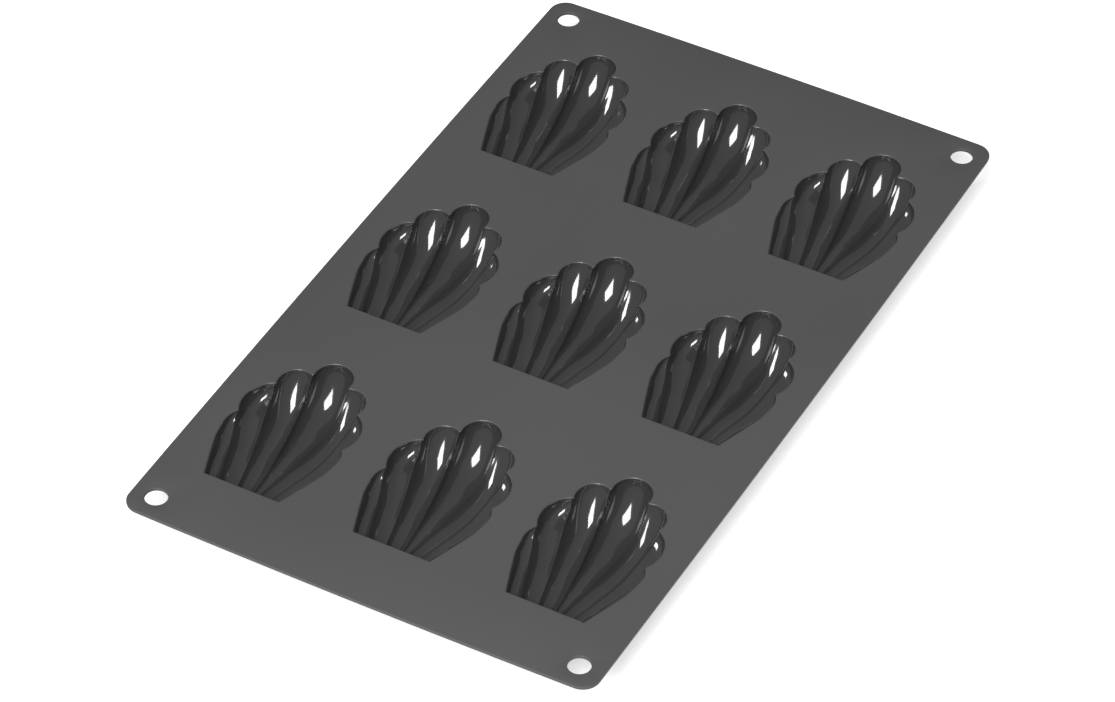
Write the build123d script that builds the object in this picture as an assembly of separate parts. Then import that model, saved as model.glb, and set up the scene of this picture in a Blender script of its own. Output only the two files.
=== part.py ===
from build123d import *
import math
import os

# Madeleine mould: one silicone sheet with nine fluted shell cups hanging below it.
# The sheet and each cup are nodes of their own and meet face to face under the sheet.
# Origin at the middle of the mould on the surface it stands on, +X across the sheet,
# +Y from the straight hinge edge of a cup to its round end, +Z up.

# Cups
columns = ("left", "centre", "right")
rows = ("front", "middle", "rear")
cup_length = 67.5
cup_width = 44.0
cup_depth = 16.0
cup_wall = 1.2
hinge_width = 29.2
hinge_lean = 8.0

# Sheet between and around the cups
gap_across = 12.7
gap_along = 25.65
side_margin = 8.8
front_margin = 25.65
rear_margin = 20.55
sheet_thickness = 1.3
sheet_crown = 0.8
corner_radius = 6.0
hole_diameter = 7.8
hole_inset = 8.8

# The cups' grid sets the sheet's size at its corners.
column_pitch = cup_width + gap_across
row_pitch = cup_length + gap_along
sheet_width = (len(columns) - 1) * column_pitch + cup_width + 2 * side_margin
sheet_length = (len(rows) - 1) * row_pitch + cup_length + front_margin + rear_margin

# One overrun for every cut
overrun = 2.0

# A cup's surface is seven flutes side by side. Neighbouring flutes meet in a ridge.
# The ridges and the flutes' floor lines run from the mouth's round end to the wall
# under the hinge edge, through the same number of stations. Each station of a flute
# is two arcs that run from ridge to ridge and meet on the floor line, in chords.
# A row below is one station: shares across the half width, along the length and down
# the depth under the sheet, for the +X side. The other side is its mirror image. The
# last row has no share along, because it lies in the hinge wall.
middle_ridge_shares = (
    (0.332, 0.868, 0.000),
    (0.327, 0.818, 0.238),
    (0.318, 0.756, 0.483),
    (0.268, 0.637, 0.646),
    (0.132, 0.363, 0.694),
    (0.030, None, 0.633),
)
second_ridge_shares = (
    (0.736, 0.726, 0.000),
    (0.716, 0.681, 0.048),
    (0.673, 0.607, 0.272),
    (0.575, 0.464, 0.565),
    (0.455, 0.304, 0.619),
    (0.236, None, 0.551),
)
outer_ridge_shares = (
    (0.927, 0.470, 0.000),
    (0.914, 0.444, 0.034),
    (0.877, 0.400, 0.150),
    (0.805, 0.326, 0.265),
    (0.691, 0.207, 0.286),
    (0.477, None, 0.252),
)
side_edge_shares = (
    (0.995, 0.363, 0.000),
    (0.982, 0.329, 0.000),
    (0.959, 0.287, 0.000),
    (0.918, 0.234, 0.000),
    (0.827, 0.148, 0.000),
    (hinge_width / cup_width, None, 0.000),
)
middle_floor_shares = (
    (0.000, 1.000, 0.000),
    (0.000, 0.933, 0.422),
    (0.000, 0.837, 0.830),
    (0.000, 0.696, 1.000),
    (0.000, 0.444, 0.891),
    (0.000, None, 0.667),
)
second_floor_shares = (
    (0.670, 0.845, 0.000),
    (0.627, 0.785, 0.286),
    (0.555, 0.704, 0.653),
    (0.436, 0.548, 0.884),
    (0.286, 0.326, 0.837),
    (0.132, None, 0.701),
)
third_floor_shares = (
    (0.982, 0.637, 0.000),
    (0.941, 0.593, 0.204),
    (0.864, 0.526, 0.422),
    (0.727, 0.407, 0.592),
    (0.573, 0.244, 0.571),
    (0.373, None, 0.510),
)
outer_floor_shares = (
    (0.998, 0.419, 0.000),
    (0.977, 0.388, 0.075),
    (0.941, 0.338, 0.170),
    (0.873, 0.264, 0.245),
    (0.773, 0.156, 0.245),
    (0.618, None, 0.218),
)
ridge_tables = (middle_ridge_shares, second_ridge_shares, outer_ridge_shares, side_edge_shares)
floor_tables = (middle_floor_shares, second_floor_shares, third_floor_shares, outer_floor_shares)

# Chords of each arc, which is half a flute, inside the cup and under it
inside_chords = 4
outside_chords = 3

# At the mouth the third lobe's tip is turned by this angle against its two ridges.
third_lobe = 2
third_lobe_turn = -5.0

# Under the cup each ridge is a groove, and the wall's thickness makes it shallower:
# it lies this share of the way from the ridge to the middle of the floors beside it.
groove_share = 0.7


def place(shares, length, half_width, depth, back):
    """A station's point, measured from the middle of the hinge edge at the mouth."""
    across, along, down = shares
    if along is None:
        return on_hinge_wall(half_width * across, -depth * down, back)
    return Vector(half_width * across, length * along - back, -depth * down)


def on_hinge_wall(x, z, back):
    return Vector(x, -z * math.tan(math.radians(hinge_lean)) - back, z)


def mirrored(point):
    return Vector(-point.X, point.Y, point.Z)


def flute_lines(length, half_width, depth, back, groove):
    """Ridges from the left side edge to the right one, and the floors between them."""
    ridges = [[place(s, length, half_width, depth, back) for s in t] for t in ridge_tables]
    floors = [[place(s, length, half_width, depth, back) for s in t] for t in floor_tables]
    for ridge, floor, next_floor in zip(ridges, floors, floors[1:]):
        for k, point in enumerate(ridge):
            between = (floor[k] + next_floor[k]) / 2
            ridge[k] = point + (between - point) * groove
        ridge[-1] = on_hinge_wall(ridge[-1].X, ridge[-1].Z, back)
    left_ridges = [[mirrored(p) for p in ridge] for ridge in reversed(ridges)]
    left_floors = [[mirrored(p) for p in floor] for floor in reversed(floors[1:])]
    return left_ridges + ridges, left_floors + floors


def station(left, floor, right, turn, chords):
    """The corners of one flute's chords at one station, from the left ridge to the right."""
    across = (right - left).rotate(Axis.Z, turn)
    left_arc = TangentArc(floor, left, tangent=-across)
    right_arc = TangentArc(floor, right, tangent=across)
    steps = [i / chords for i in range(chords + 1)]
    return [left_arc @ t for t in reversed(steps)] + [right_arc @ t for t in steps[1:]]


def polygon(*corners):
    return Face(Polyline(*corners, close=True).wire())


def bowl(length, half_width, depth, back, groove, chords):
    """The solid that fills a fluted bowl under the sheet. Its mouth lies flat, in the
    sheet's underside."""
    ridges, floors = flute_lines(length, half_width, depth, back, groove)
    below = Vector(0, 0, -sheet_thickness)
    faces = []
    mouth = []
    hinge = []
    for i, floor in enumerate(floors):
        side = i - len(floors) // 2
        lines = []
        for k, point in enumerate(floor):
            at_tip = k == 0 and abs(side) == third_lobe
            turn = math.copysign(third_lobe_turn, side) if at_tip else 0
            ends = (ridges[i][k] + below, ridges[i + 1][k] + below)
            lines.append(station(ends[0], point + below, ends[1], turn, chords))
        for upper, lower in zip(lines, lines[1:]):
            for n, (a, b, c, d) in enumerate(zip(upper, upper[1:], lower[1:], lower)):
                if n < chords:
                    faces += [polygon(a, b, c), polygon(a, c, d)]
                else:
                    faces += [polygon(a, b, d), polygon(b, c, d)]
        mouth += lines[0][:-1]
        hinge += lines[-1][:-1]
    left_edge = [point + below for point in ridges[0]]
    right_edge = [point + below for point in ridges[-1]]
    mouth += right_edge + left_edge[:0:-1]
    hinge += right_edge[-1:]
    faces += [polygon(*mouth), polygon(*hinge)]
    return Solid(Shell(faces))


def hollow():
    """The inside of a cup below the sheet."""
    depth = cup_depth - sheet_thickness
    return bowl(cup_length, cup_width / 2, depth, 0, 0, inside_chords)


def cup():
    """A cup's wall below the sheet. The middle of the mouth's hinge edge is at the origin."""
    length = cup_length + 2 * cup_wall
    half_width = cup_width / 2 + cup_wall
    depth = cup_depth + cup_wall - sheet_thickness
    return bowl(length, half_width, depth, cup_wall, groove_share, outside_chords) - hollow()


def cup_places():
    """Each cup's name, and the place of the middle of its mouth's hinge edge."""
    for j, row in enumerate(rows):
        for i, column in enumerate(columns):
            x = (i - (len(columns) - 1) / 2) * column_pitch
            y = front_margin - sheet_length / 2 + j * row_pitch
            yield f"cup_{row}_{column}", Location((x, y, cup_depth + cup_wall))


def sheet():
    half_width = sheet_width / 2
    half_length = sheet_length / 2
    with BuildSketch() as outline:
        with BuildLine():
            for side in (-1, 1):
                x = side * (half_width + sheet_crown)
                y = side * (half_length + sheet_crown)
                ends = (side * half_width, side * half_length)
                ThreePointArc((ends[0], -half_length), (x, 0), (ends[0], half_length))
                ThreePointArc((-half_width, ends[1]), (0, y), (half_width, ends[1]))
        make_face()
        fillet(outline.vertices(), corner_radius)
    top = cup_depth + cup_wall
    plate = extrude(Plane.XY.offset(top) * outline.sketch, -sheet_thickness)
    hole = Cylinder(hole_diameter / 2, sheet_thickness + 2 * overrun)
    at_corners = GridLocations(sheet_width - 2 * hole_inset, sheet_length - 2 * hole_inset, 2, 2)
    plate -= [Pos(0, 0, top) * corner * hole for corner in at_corners]
    mouth = extrude(hollow().faces().sort_by(Axis.Z)[-1], sheet_thickness, dir=(0, 0, 1))
    return plate - [mouth.moved(location) for name, location in cup_places()]


def build():
    nodes = {"sheet": sheet()}
    one_cup = cup()
    for name, location in cup_places():
        nodes[name] = one_cup.moved(location)
    return nodes


os.makedirs("parts", exist_ok=True)
for name, shape in build().items():
    export_step(shape, f"parts/{name}.step")
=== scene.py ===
"""Silicone madeleine mould: a matte sheet with nine glossy shell cups hanging below it."""

import math

import bmesh
import bpy
from mathutils import Matrix, Vector, kdtree


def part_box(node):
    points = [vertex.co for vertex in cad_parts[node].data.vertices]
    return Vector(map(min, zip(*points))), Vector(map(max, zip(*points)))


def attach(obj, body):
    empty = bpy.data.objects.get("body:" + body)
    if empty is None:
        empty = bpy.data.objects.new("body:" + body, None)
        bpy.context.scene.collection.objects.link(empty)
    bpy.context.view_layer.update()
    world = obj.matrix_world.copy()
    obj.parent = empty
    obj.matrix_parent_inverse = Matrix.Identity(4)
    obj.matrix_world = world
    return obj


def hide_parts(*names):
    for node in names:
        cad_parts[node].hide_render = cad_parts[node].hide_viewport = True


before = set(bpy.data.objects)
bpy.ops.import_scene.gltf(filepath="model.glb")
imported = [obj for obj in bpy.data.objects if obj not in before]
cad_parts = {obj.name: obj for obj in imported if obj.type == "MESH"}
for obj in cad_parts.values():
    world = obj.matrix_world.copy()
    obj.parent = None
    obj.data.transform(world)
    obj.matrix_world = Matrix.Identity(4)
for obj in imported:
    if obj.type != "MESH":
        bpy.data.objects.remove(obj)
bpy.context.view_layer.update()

# Sizes are in millimetres and angles in degrees. A finished mesh is scaled to metres.
METRE = 0.001
upward = Vector((0, 0, 1))

# Sheet
sheet_thickness = 1.3
corner_radius = 6.0
sheet_crown = 0.8
hole_radius = 3.9
hole_inset = 8.8
edge_break = 0.3

# Cups
cup_length = 67.5
cup_half_width = 22.0
cup_depth = 16.0
cup_wall = 1.2
hinge_lean = 8.0
ridge_round = 0.35

# The rim's roll pulls the wall along with it, down to this reach.
rim_radius = 0.6
rim_reach = 3.6

# Under a cup each ridge is a groove. It lies this share of the way from the ridge to the
# middle of the floors beside it.
groove_share = 0.7

# At the mouth the third lobe's tip is turned by this angle against its two ridges, one way
# on one side of the cup and the other way on the other.
third_lobe = 2
third_lobe_turn = 5.0

# Stations of the ridges and of the flutes' floor lines, from the mouth's round end to the
# hinge wall: shares across the half width, along the length and down the depth. The last
# station has no share along, because it lies in the hinge wall.
ridge_shares = (
    (
        (0.327, 0.868, 0), (0.325, 0.815, 0.300), (0.316, 0.741, 0.575),
        (0.241, 0.593, 0.694), (0.136, 0.370, 0.725), (0.023, None, 0.663),
    ),
    (
        (0.736, 0.726, 0), (0.724, 0.698, 0.200), (0.664, 0.587, 0.400),
        (0.573, 0.462, 0.600), (0.423, 0.274, 0.644), (0.236, None, 0.575),
    ),
    (
        (0.927, 0.468, 0), (0.900, 0.430, 0.150), (0.836, 0.370, 0.281),
        (0.755, 0.289, 0.344), (0.645, 0.178, 0.338), (0.473, None, 0.313),
    ),
    (
        (0.995, 0.363, 0), (0.977, 0.316, 0), (0.950, 0.267, 0),
        (0.882, 0.199, 0), (0.791, 0.114, 0), (0.664, None, 0),
    ),
)
floor_shares = (
    (
        (0, 1.000, 0), (0, 0.939, 0.475), (0, 0.844, 0.850),
        (0, 0.652, 0.996), (0, 0.385, 0.888), (0, None, 0.688),
    ),
    (
        (0.670, 0.845, 0), (0.620, 0.778, 0.410), (0.527, 0.687, 0.750),
        (0.423, 0.536, 0.894), (0.286, 0.324, 0.850), (0.132, None, 0.725),
    ),
    (
        (0.985, 0.634, 0), (0.945, 0.595, 0.380), (0.845, 0.511, 0.500),
        (0.709, 0.400, 0.625), (0.564, 0.237, 0.600), (0.373, None, 0.550),
    ),
    (
        (0.995, 0.418, 0), (0.968, 0.385, 0.163), (0.932, 0.330, 0.250),
        (0.855, 0.255, 0.306), (0.768, 0.153, 0.306), (0.618, None, 0.275),
    ),
)
station_count = len(floor_shares[0])
flute_count = 2 * len(floor_shares) - 1

# Facets of a cup: columns and rows, and the steps of its roundings
half_flute_columns = 8
rows_between_stations = 8
hinge_row_shares = (0.03, 0.1, 0.3, 0.65, 1.0)
roll_steps = 5
ridge_steps = 3
grid_merge_distance = 0.01

# Facets of the sheet
corner_steps = 10
side_cuts = 23
hole_sides = 48
edge_steps = 3
ring_spacing = 0.25
sheet_merge_distance = 0.001

# An edge with a larger angle than this stays sharp.
crease_angle = 50

# Silicone's surface. Most values of a noise lie within the common noise.
silicone_ior = 1.43
gloss_roughness = 0.04
common_noise = (0.3, 0.7)
clouds_per_metre = 9
cloud_shades = (0.94, 1.05)
grain_roughnesses = (0.9, 1.1)
grain_height_share = 0.2

# Studio: paper on the floor, an even sky, and a softbox as the key light. Its azimuth goes
# from -Y towards +X, and its elevation is above the floor.
paper_grey = 0.82
paper_roughness = 0.9
paper_glow = 0.56
floor_half_width = 40000.0
sky_strength = 0.25
key_azimuth = 9
key_elevation = 49
key_distance = 2600.0
key_size = 1300.0
key_turn = 40
key_watts = 95

# The camera's place, the point on the sheet that it looks at, and its roll, sensor and lens
camera_place = Vector((609.46, -1141.60, 1199.58))
camera_target = Vector((2.587, -16.171, 17.2))
camera_roll = 0.404
sensor_width = 36
camera_lens = 166.81


# Cup form

def hinge_wall_y(z, wall, top):
    """How far along the cup the hinge wall lies at a height."""
    return -(z + top) * math.tan(math.radians(hinge_lean)) - wall


def station_line(shares, wall, top):
    """The stations of one ridge or floor line, from the middle of the mouth's hinge edge.
    They lie a wall outside the cup's inside, and start at top below the mouth."""
    points = []
    for across, along, down in shares:
        x = (cup_half_width + wall) * across
        z = -(cup_depth + wall - top) * down - top
        if along is None:
            y = hinge_wall_y(z, wall, top)
        else:
            y = (cup_length + 2 * wall) * along - wall
        points.append(Vector((x, y, z)))
    return points


def mirrored(points):
    """The same points on the cup's other side."""
    return [Vector((-p.x, p.y, p.z)) for p in points]


def flute_lines(wall, top, groove):
    """Ridges from the left side edge to the right one, and the floors between them."""
    ridges = [station_line(shares, wall, top) for shares in ridge_shares]
    floors = [station_line(shares, wall, top) for shares in floor_shares]
    for ridge, floor, next_floor in zip(ridges, floors, floors[1:]):
        for k, point in enumerate(ridge):
            between = (floor[k] + next_floor[k]) / 2
            ridge[k] = point.lerp(between, groove)
        ridge[-1].y = hinge_wall_y(ridge[-1].z, wall, top)
    left_ridges = [mirrored(ridge) for ridge in reversed(ridges)]
    left_floors = [mirrored(floor) for floor in reversed(floors[1:])]
    return left_ridges + ridges, left_floors + floors


def parabola_slope(before, here, after):
    """The slope, per unit of length, at the middle one of three stations on a parabola."""
    way_in = here - before
    way_out = after - here
    length_in = way_in.length
    length_out = way_out.length
    return way_in / length_in + way_out / length_out - (after - before) / (length_in + length_out)


def along_line(stations, t):
    """The point at t stations along a smooth line through the stations. Its first and last
    spans are parabolas."""
    k = min(int(t), len(stations) - 2)
    start = stations[k]
    end = stations[k + 1]
    chord = end - start
    if k > 0:
        leaving = chord.length * parabola_slope(stations[k - 1], start, end)
    if k + 2 < len(stations):
        arriving = chord.length * parabola_slope(start, end, stations[k + 2])
    else:
        arriving = 2 * chord - leaving
    if k == 0:
        leaving = 2 * chord - arriving
    s = t - k
    return (
        start * (2 * s**3 - 3 * s**2 + 1)
        + leaving * (s**3 - 2 * s**2 + s)
        + end * (3 * s**2 - 2 * s**3)
        + arriving * (s**3 - s**2)
    )


def section_point(floor, end, across, share):
    """The point at a share of the arc that leaves the floor line along across and ends at end."""
    chord = end - floor
    side = chord.dot(across)
    tangent = across if side > 0 else -across
    rise = chord - tangent * abs(side)
    if rise.length == 0:
        return floor.lerp(end, share)
    angle = math.atan2(rise.length, abs(side))
    radius = chord.length / (2 * math.sin(angle))
    swept = 2 * angle * share
    return floor + radius * (math.sin(swept) * tangent + (1 - math.cos(swept)) * rise.normalized())


def flute_point(ridges, floors, column, t):
    """The surface point at a column of the cup, t stations from the mouth's round end."""
    per_flute = 2 * half_flute_columns
    flute = min(column // per_flute, flute_count - 1)
    step = column - flute * per_flute - half_flute_columns
    left = along_line(ridges[flute], t)
    right = along_line(ridges[flute + 1], t)
    floor = along_line(floors[flute], t)
    across = (right - left).normalized()
    side = flute - flute_count // 2
    if abs(side) == third_lobe and t < 1:
        turn = math.copysign(math.radians(third_lobe_turn), side) * (1 - t)
        across.rotate(Matrix.Rotation(turn, 3, "Z"))
    return section_point(floor, right if step > 0 else left, across, abs(step) / half_flute_columns)


def fluted_surface(bm, wall, top, groove):
    """An open fluted bowl as one grid. Its last rows are the hinge wall, up to the hinge
    edge, and its ridges are rounded. Gives the bowl's vertices."""
    ridges, floors = flute_lines(wall, top, groove)
    per_flute = 2 * half_flute_columns
    columns = flute_count * per_flute
    flute_rows = (station_count - 1) * rows_between_stations
    rows = flute_rows + len(hinge_row_shares)
    ridge_mark = bm.verts.layers.int.get("ridge") or bm.verts.layers.int.new("ridge")
    others = set(bm.verts)
    made = bmesh.ops.create_grid(bm, x_segments=columns, y_segments=rows, size=0.5)
    for vert in made["verts"]:
        column = round((vert.co.x + 0.5) * columns)
        row = round((vert.co.y + 0.5) * rows)
        point = flute_point(ridges, floors, column, min(row, flute_rows) / rows_between_stations)
        if row > flute_rows:
            hinge_edge = Vector((point.x, -wall, -top))
            point = point.lerp(hinge_edge, hinge_row_shares[row - flute_rows - 1])
        vert.co = point
        if column % per_flute == 0 and 0 < column < columns:
            vert[ridge_mark] = 1
    bmesh.ops.remove_doubles(bm, verts=made["verts"], dist=grid_merge_distance)
    ridge_edges = [e for e in bm.edges if all(v not in others and v[ridge_mark] for v in e.verts)]
    bmesh.ops.bevel(
        bm, geom=ridge_edges, offset=ridge_round, offset_type="OFFSET", segments=ridge_steps,
        profile=0.5, affect="EDGES", material=-1, clamp_overlap=True,
    )
    return [v for v in bm.verts if v not in others]


# Rings of vertices on a boundary, in order, anticlockwise as seen from above

def ring_from(start):
    """The ring through a vertex."""
    ring = [start]
    edge = next(e for e in start.link_edges if e.is_boundary)
    vert = edge.other_vert(start)
    while vert is not start:
        ring.append(vert)
        edge = next(e for e in vert.link_edges if e.is_boundary and e is not edge)
        vert = edge.other_vert(vert)
    area = sum(a.co.x * b.co.y - b.co.x * a.co.y for a, b in zip(ring, ring[1:] + ring[:1]))
    return ring if area > 0 else ring[::-1]


def ring_edges(ring):
    """The ring's edges, in order."""
    edges = []
    for a, b in zip(ring, ring[1:] + ring[:1]):
        edges.append(next(e for e in a.link_edges if e.other_vert(a) is b))
    return edges


def extruded_ring(bm, ring, places):
    """Extrudes the ring to the places. Gives the new ring."""
    made = bmesh.ops.extrude_edge_only(bm, edges=ring_edges(ring))["geom"]
    new_verts = {v for v in made if isinstance(v, bmesh.types.BMVert)}
    new_ring = []
    for vert, place in zip(ring, places):
        new = next(e.other_vert(vert) for e in vert.link_edges if e.other_vert(vert) in new_verts)
        new.co = place
        new_ring.append(new)
    return new_ring


def inward_sides(places):
    """For each place of a ring, the level direction to the ring's inside."""
    sides = []
    for i, after in enumerate(places[1:] + places[:1]):
        tangent = (after - places[i - 1]).normalized()
        sides.append(Vector((-tangent.y, tangent.x, 0)))
    return sides


def smoothed(values):
    """Each value of a ring averaged with its two neighbours."""
    nexts = values[1:] + values[:1]
    return [(values[i - 1] + 2 * values[i] + after) / 4 for i, after in enumerate(nexts)]


# Cup's rim

def wall_slopes(ring, inward):
    """The angle at which the cup's wall falls away from each vertex of the mouth's edge."""
    slopes = []
    for vert, to_inside in zip(ring, inward):
        fall = Vector()
        for edge in vert.link_edges:
            if not edge.is_boundary:
                fall += (edge.other_vert(vert).co - vert.co).normalized()
        slopes.append(math.atan2(-fall.z, max(fall.dot(to_inside), 0)))
    return smoothed(slopes)


def rolled(to_inside, swept):
    """The way from the mouth's outline down the roll, swept by an angle."""
    return rim_radius * (math.sin(swept) * to_inside - (1 - math.cos(swept)) * upward)


def pull_wall(verts, places, shifts):
    """Shifts the mouth's edge, at the places, and the wall below it less and less."""
    edge = kdtree.KDTree(len(places))
    for i, place in enumerate(places):
        edge.insert(place, i)
    edge.balance()
    for vert in verts:
        nearest, i, distance = edge.find(vert.co)
        if distance < rim_reach:
            vert.co += shifts[i] * (1 - distance / rim_reach) ** 2


def roll_rim(bm, verts):
    """Rounds the mouth's edge inward, so that the mouth's outline stays where it is. Gives
    the outline's ring, and the faces up to the roll's first step, which stay glossy."""
    ring = ring_from(next(v for v in verts if v.is_boundary))
    places = [v.co.copy() for v in ring]
    inward = [side.normalized() for side in smoothed(smoothed(inward_sides(places)))]
    slopes = wall_slopes(ring, inward)
    pull_wall(verts, places, [rolled(side, slope) for side, slope in zip(inward, slopes)])
    for step in range(1, roll_steps + 1):
        share = 1 - step / roll_steps
        steps = [
            place + rolled(side, slope * share)
            for place, side, slope in zip(places, inward, slopes)
        ]
        ring = extruded_ring(bm, ring, steps)
        if step == 1:
            glossy_faces = set(bm.faces)
    return ring, glossy_faces


# Meshes of the pieces

def finished_piece(bm, name, place, finishes):
    """Moves the mesh to its place, scales it to metres and makes the object."""
    bmesh.ops.translate(bm, verts=bm.verts[:], vec=place)
    bmesh.ops.scale(bm, verts=bm.verts[:], vec=(METRE,) * 3)
    for face in bm.faces:
        face.smooth = True
    for edge in bm.edges:
        edge.smooth = edge.calc_face_angle(0) < math.radians(crease_angle)
    mesh = bpy.data.meshes.new(name)
    bm.to_mesh(mesh)
    bm.free()
    for finish in finishes:
        mesh.materials.append(finish)
    piece = bpy.data.objects.new(name, mesh)
    bpy.context.scene.collection.objects.link(piece)
    return piece


def make_cup(name, hinge_place):
    """One closed cup: the glossy inside, its satin rim, and the matte underside. Gives the
    cup and its mouth's outline."""
    bm = bmesh.new()
    inside = fluted_surface(bm, wall=0, top=0, groove=0)
    rim, glossy_faces = roll_rim(bm, inside)
    upper_faces = set(bm.faces)
    outline = [v.co.copy() for v in rim]

    below = [place - sheet_thickness * upward for place in outline]
    rim = extruded_ring(bm, rim, below)
    outside = fluted_surface(bm, wall=cup_wall, top=sheet_thickness, groove=groove_share)
    outer_rim = ring_from(next(v for v in outside if v.is_boundary))
    start = min(range(len(outer_rim)), key=lambda i: (outer_rim[i].co - below[0]).length)
    outer_rim = outer_rim[start:] + outer_rim[:start]
    rim = extruded_ring(bm, rim, [v.co.copy() for v in outer_rim])
    bmesh.ops.weld_verts(bm, targetmap=dict(zip(rim, outer_rim)))

    finishes = (glossy_silicone, matte_silicone, satin_silicone)
    for face in bm.faces:
        if face in glossy_faces:
            finish = glossy_silicone
        elif face in upper_faces:
            finish = satin_silicone
        else:
            finish = matte_silicone
        face.material_index = finishes.index(finish)
    bmesh.ops.recalc_face_normals(bm, faces=bm.faces[:])
    return finished_piece(bm, name, hinge_place, finishes), [hinge_place + p for p in outline]


def outline_ring(bm, half_width, half_length):
    """The sheet's outline as a ring of edges: slightly crowned sides and round corners.
    Gives a vertex of it."""
    bmesh.ops.create_grid(bm, x_segments=1, y_segments=1, size=1)
    bmesh.ops.scale(bm, verts=bm.verts[:], vec=(half_width, half_length, 1))
    bmesh.ops.bevel(
        bm, geom=bm.verts[:], offset=corner_radius, offset_type="OFFSET", segments=corner_steps,
        profile=0.5, affect="VERTICES", material=-1,
    )
    sides = [e for e in bm.edges if e.calc_length() > corner_radius]
    bmesh.ops.subdivide_edges(bm, edges=sides, cuts=side_cuts)
    bmesh.ops.delete(bm, geom=bm.faces[:], context="FACES_ONLY")
    for vert in bm.verts:
        x_share = vert.co.x / half_width
        y_share = vert.co.y / half_length
        vert.co.x += sheet_crown * x_share * (1 - y_share**2)
        vert.co.y += sheet_crown * y_share * (1 - x_share**2)
    return bm.verts[:][0]


def corner_hole_rings(bm, half_width, half_length):
    """The holes in the sheet's corners as rings of edges. Gives a vertex of each."""
    found = []
    for x in (-1, 1):
        for y in (-1, 1):
            hole = bmesh.ops.create_circle(bm, segments=hole_sides, radius=hole_radius)["verts"]
            place = (x * (half_width - hole_inset), y * (half_length - hole_inset), 0)
            bmesh.ops.translate(bm, verts=hole, vec=place)
            found.append(hole[0])
    return found


def mouth_ring(bm, places):
    """A mouth as a ring of edges, through the places that are far enough apart. Gives a
    vertex of it."""
    kept = [places[0]]
    for place in places[1:]:
        if min((place - kept[-1]).length, (place - kept[0]).length) > ring_spacing:
            kept.append(place)
    verts = [bm.verts.new(place) for place in kept]
    for pair in zip(verts, verts[1:] + verts[:1]):
        bm.edges.new(pair)
    return verts[0]


def broken_edge(bm, ring, towards_sheet):
    """Rounds the edge of the sheet's face down at a ring, and gives the ring below. The
    sheet lies inside its outline, where towards_sheet is 1, and outside a hole, with -1."""
    places = [v.co.copy() for v in ring]
    sides = inward_sides(places)
    for vert, side in zip(ring, sides):
        vert.co += edge_break * towards_sheet * side
    for step in range(1, edge_steps + 1):
        swept = math.pi / 2 * step / edge_steps
        level = edge_break * (1 - math.sin(swept)) * towards_sheet
        drop = edge_break * (1 - math.cos(swept)) * upward
        steps = [place + level * side - drop for place, side in zip(places, sides)]
        ring = extruded_ring(bm, ring, steps)
    return ring


def make_sheet(name, mouths):
    """The sheet as its upper half, mirrored down: its faces, broken edges and mouths."""
    low, high = (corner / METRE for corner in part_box(name))
    half_width = (high.x - low.x) / 2 - sheet_crown
    half_length = (high.y - low.y) / 2 - sheet_crown
    bm = bmesh.new()
    on_outline = outline_ring(bm, half_width, half_length)
    on_holes = corner_hole_rings(bm, half_width, half_length)
    on_mouths = [mouth_ring(bm, places) for places in mouths]
    for vert in bm.verts:
        vert.co.z = sheet_thickness / 2
    bmesh.ops.triangle_fill(
        bm, use_beauty=True, use_dissolve=False, edges=bm.edges[:], normal=upward,
    )
    rings = [broken_edge(bm, ring_from(on_outline), 1)]
    rings += [broken_edge(bm, ring_from(vert), -1) for vert in on_holes]
    rings += [ring_from(vert) for vert in on_mouths]
    for ring in rings:
        extruded_ring(bm, ring, [Vector((v.co.x, v.co.y, 0)) for v in ring])
    bmesh.ops.mirror(
        bm, geom=bm.verts[:] + bm.edges[:] + bm.faces[:], matrix=Matrix(),
        merge_dist=sheet_merge_distance, axis="Z",
    )
    bmesh.ops.remove_doubles(bm, verts=bm.verts[:], dist=sheet_merge_distance)
    bmesh.ops.recalc_face_normals(bm, faces=bm.faces[:])
    middle_plane = high.z - sheet_thickness / 2
    return finished_piece(bm, name + "_skin", middle_plane * upward, (matte_silicone,))


# Silicone

def add_node(tree, kind, inputs=None):
    """A new node with the given values on its inputs."""
    made = tree.nodes.new(kind)
    for socket, value in (inputs or {}).items():
        made.inputs[socket].default_value = value
    return made


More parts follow.
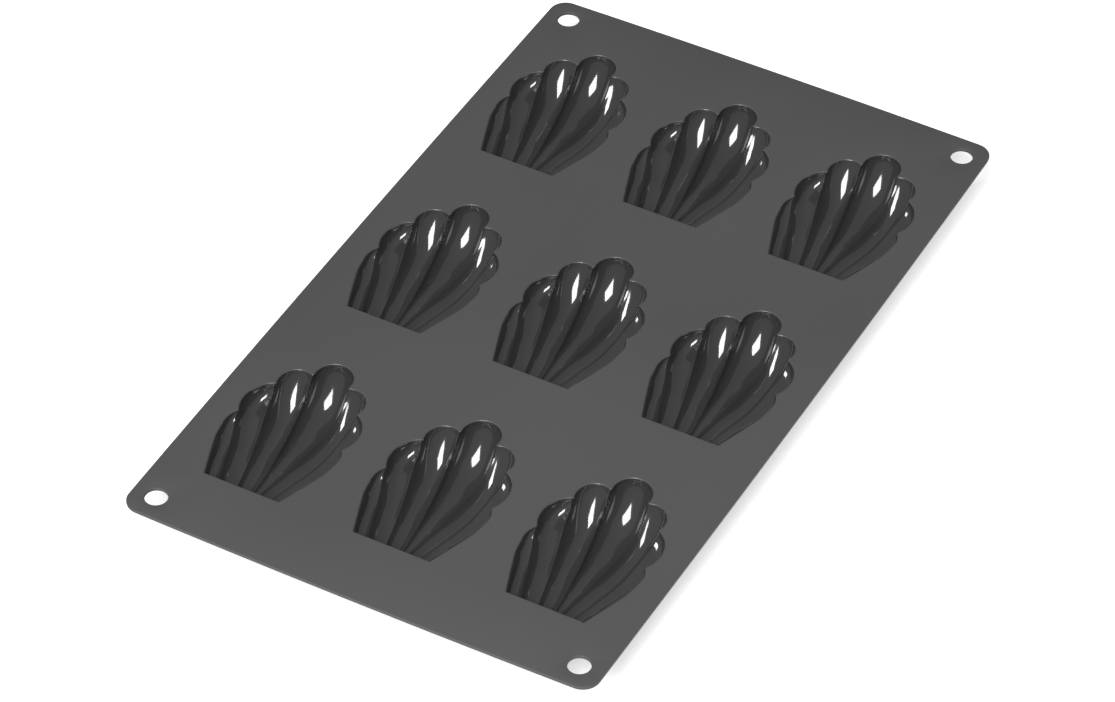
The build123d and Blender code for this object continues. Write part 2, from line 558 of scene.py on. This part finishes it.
def skin_group():
    """Moulded silicone's surface, for every finish: faint large clouds in the colour, and a
    fine grain that varies the roughness and gives a height."""
    group = bpy.data.node_groups.new("silicone_skin", "ShaderNodeTree")
    for name, kind, in_or_out in (
        ("Colour", "NodeSocketColor", "INPUT"),
        ("Roughness", "NodeSocketFloat", "INPUT"),
        ("Grains per Metre", "NodeSocketFloat", "INPUT"),
        ("Colour", "NodeSocketColor", "OUTPUT"),
        ("Roughness", "NodeSocketFloat", "OUTPUT"),
        ("Height", "NodeSocketFloat", "OUTPUT"),
    ):
        group.interface.new_socket(name, socket_type=kind, in_out=in_or_out)
    link = group.links.new
    given = add_node(group, "NodeGroupInput")
    result = add_node(group, "NodeGroupOutput")
    place = add_node(group, "ShaderNodeTexCoord")

    clouds = add_node(group, "ShaderNodeTexNoise", {"Scale": clouds_per_metre, "Detail": 2})
    link(place.outputs["Object"], clouds.inputs["Vector"])
    shade = add_node(group, "ShaderNodeMapRange", {
        "From Min": common_noise[0],
        "From Max": common_noise[1],
        "To Min": cloud_shades[0],
        "To Max": cloud_shades[1],
    })
    link(clouds.outputs["Fac"], shade.inputs["Value"])
    tint = add_node(group, "ShaderNodeHueSaturation")
    link(shade.outputs["Result"], tint.inputs["Value"])
    link(given.outputs["Colour"], tint.inputs["Color"])
    link(tint.outputs["Color"], result.inputs["Colour"])

    grain = add_node(group, "ShaderNodeTexNoise", {"Detail": 3})
    link(place.outputs["Object"], grain.inputs["Vector"])
    link(given.outputs["Grains per Metre"], grain.inputs["Scale"])
    link(grain.outputs["Fac"], result.inputs["Height"])
    sheen = add_node(group, "ShaderNodeMapRange", {
        "To Min": grain_roughnesses[0],
        "To Max": grain_roughnesses[1],
    })
    link(grain.outputs["Fac"], sheen.inputs["Value"])
    roughness = add_node(group, "ShaderNodeMath")
    roughness.operation = "MULTIPLY"
    link(sheen.outputs["Result"], roughness.inputs[0])
    link(given.outputs["Roughness"], roughness.inputs[1])
    link(roughness.outputs["Value"], result.inputs["Roughness"])
    return group


silicone_skin = skin_group()


def silicone(name, grey, roughness, grain_size, grain_strength, polish=0.0):
    """One finish of the mould's silicone. Polish above 0 adds the clear gloss that a
    polished mould leaves."""
    material = bpy.data.materials.new(name)
    material.use_nodes = True
    tree = material.node_tree
    shader = tree.nodes["Principled BSDF"]
    shader.inputs["IOR"].default_value = silicone_ior
    shader.inputs["Coat Weight"].default_value = polish
    shader.inputs["Coat Roughness"].default_value = gloss_roughness
    skin = tree.nodes.new("ShaderNodeGroup")
    skin.node_tree = silicone_skin
    skin.inputs["Colour"].default_value = (grey, grey, grey, 1)
    skin.inputs["Roughness"].default_value = roughness
    skin.inputs["Grains per Metre"].default_value = 1 / (grain_size * METRE)
    tree.links.new(skin.outputs["Colour"], shader.inputs["Base Color"])
    tree.links.new(skin.outputs["Roughness"], shader.inputs["Roughness"])
    bump = add_node(tree, "ShaderNodeBump", {
        "Strength": grain_strength,
        "Distance": grain_height_share * grain_size * METRE,
    })
    tree.links.new(skin.outputs["Height"], bump.inputs["Height"])
    tree.links.new(bump.outputs["Normal"], shader.inputs["Normal"])
    return material


matte_silicone = silicone(
    "matte_silicone", grey=0.067, roughness=0.62, grain_size=0.35, grain_strength=0.25,
)
satin_silicone = silicone(
    "satin_silicone", grey=0.067, roughness=0.33, grain_size=0.35, grain_strength=0.1,
)
glossy_silicone = silicone(
    "glossy_silicone", grey=0.031, roughness=0.12, grain_size=1.6, grain_strength=0.01, polish=0.8,
)


# Pieces

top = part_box("sheet")[1].z / METRE
mouths = []
for cup in sorted(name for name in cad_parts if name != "sheet"):
    low, high = (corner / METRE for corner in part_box(cup))
    hinge_place = Vector(((low.x + high.x) / 2, low.y + cup_wall, top))
    piece, mouth = make_cup(cup + "_skin", hinge_place)
    mouths.append(mouth)
    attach(piece, "root")
    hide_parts(cup)

sheet_piece = make_sheet("sheet", mouths)
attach(sheet_piece, "root")
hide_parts("sheet")


# Floor, light and camera

def studio_paper():
    """Pale studio paper that keeps the mould's shadow. The camera and reflections see it
    as white."""
    material = bpy.data.materials.new("studio_paper")
    material.use_nodes = True
    tree = material.node_tree
    link = tree.links.new
    paper = tree.nodes["Principled BSDF"]
    paper.inputs["Base Color"].default_value = (paper_grey, paper_grey, paper_grey, 1)
    paper.inputs["Roughness"].default_value = paper_roughness
    paper.inputs["Specular IOR Level"].default_value = 0
    path = add_node(tree, "ShaderNodeLightPath")
    camera_or_glossy = add_node(tree, "ShaderNodeMath")
    camera_or_glossy.operation = "MAXIMUM"
    link(path.outputs["Is Camera Ray"], camera_or_glossy.inputs[0])
    link(path.outputs["Is Glossy Ray"], camera_or_glossy.inputs[1])
    seen = add_node(tree, "ShaderNodeMath")
    seen.operation = "MAXIMUM"
    link(camera_or_glossy.outputs["Value"], seen.inputs[0])
    link(path.outputs["Is Transmission Ray"], seen.inputs[1])
    glow = add_node(tree, "ShaderNodeEmission", {"Strength": paper_glow})
    glowing_paper = add_node(tree, "ShaderNodeAddShader")
    link(paper.outputs["BSDF"], glowing_paper.inputs[0])
    link(glow.outputs["Emission"], glowing_paper.inputs[1])
    surface = add_node(tree, "ShaderNodeMixShader")
    link(seen.outputs["Value"], surface.inputs["Fac"])
    link(paper.outputs["BSDF"], surface.inputs[1])
    link(glowing_paper.outputs["Shader"], surface.inputs[2])
    link(surface.outputs["Shader"], tree.nodes["Material Output"].inputs["Surface"])
    return material


def make_floor():
    """The level floor that the mould stands on."""
    bm = bmesh.new()
    bmesh.ops.create_grid(bm, x_segments=1, y_segments=1, size=floor_half_width * METRE)
    mesh = bpy.data.meshes.new("floor")
    bm.to_mesh(mesh)
    bm.free()
    mesh.materials.append(studio_paper())
    floor = bpy.data.objects.new("floor", mesh)
    bpy.context.scene.collection.objects.link(floor)


def make_sky():
    """Even, soft light from all sides."""
    world = bpy.data.worlds.new("studio")
    bpy.context.scene.world = world
    world.use_nodes = True
    background = world.node_tree.nodes["Background"]
    background.inputs["Color"].default_value = (1, 1, 1, 1)
    background.inputs["Strength"].default_value = sky_strength


def placed_object(name, data, place, axes, turn):
    """An object at a place, along the axes, and turned about its own Z."""
    made = bpy.data.objects.new(name, data)
    bpy.context.scene.collection.objects.link(made)
    turned = axes @ Matrix.Rotation(math.radians(turn), 3, "Z")
    made.matrix_world = Matrix.Translation(place * METRE) @ turned.to_4x4()
    return made


def make_key_light():
    """A square softbox that faces the mould."""
    azimuth = math.radians(key_azimuth)
    elevation = math.radians(key_elevation)
    level = math.cos(elevation)
    towards = Vector((math.sin(azimuth) * level, -math.cos(azimuth) * level, math.sin(elevation)))
    softbox = bpy.data.lights.new("key", "AREA")
    softbox.shape = "SQUARE"
    softbox.size = key_size * METRE
    softbox.energy = key_watts
    axes = towards.to_track_quat("Z", "Y").to_matrix()
    placed_object("key", softbox, key_distance * towards, axes, key_turn)


def make_camera():
    """The camera, level but for its roll."""
    data = bpy.data.cameras.new("camera")
    data.sensor_width = sensor_width
    data.sensor_fit = "HORIZONTAL"
    data.lens = camera_lens
    backward = (camera_place - camera_target).normalized()
    right = upward.cross(backward).normalized()
    axes = Matrix((right, backward.cross(right), backward)).transposed()
    bpy.context.scene.camera = placed_object("camera", data, camera_place, axes, camera_roll)


make_floor()
make_sky()
make_key_light()
make_camera()
bpy.context.scene.view_settings.view_transform = "Standard"
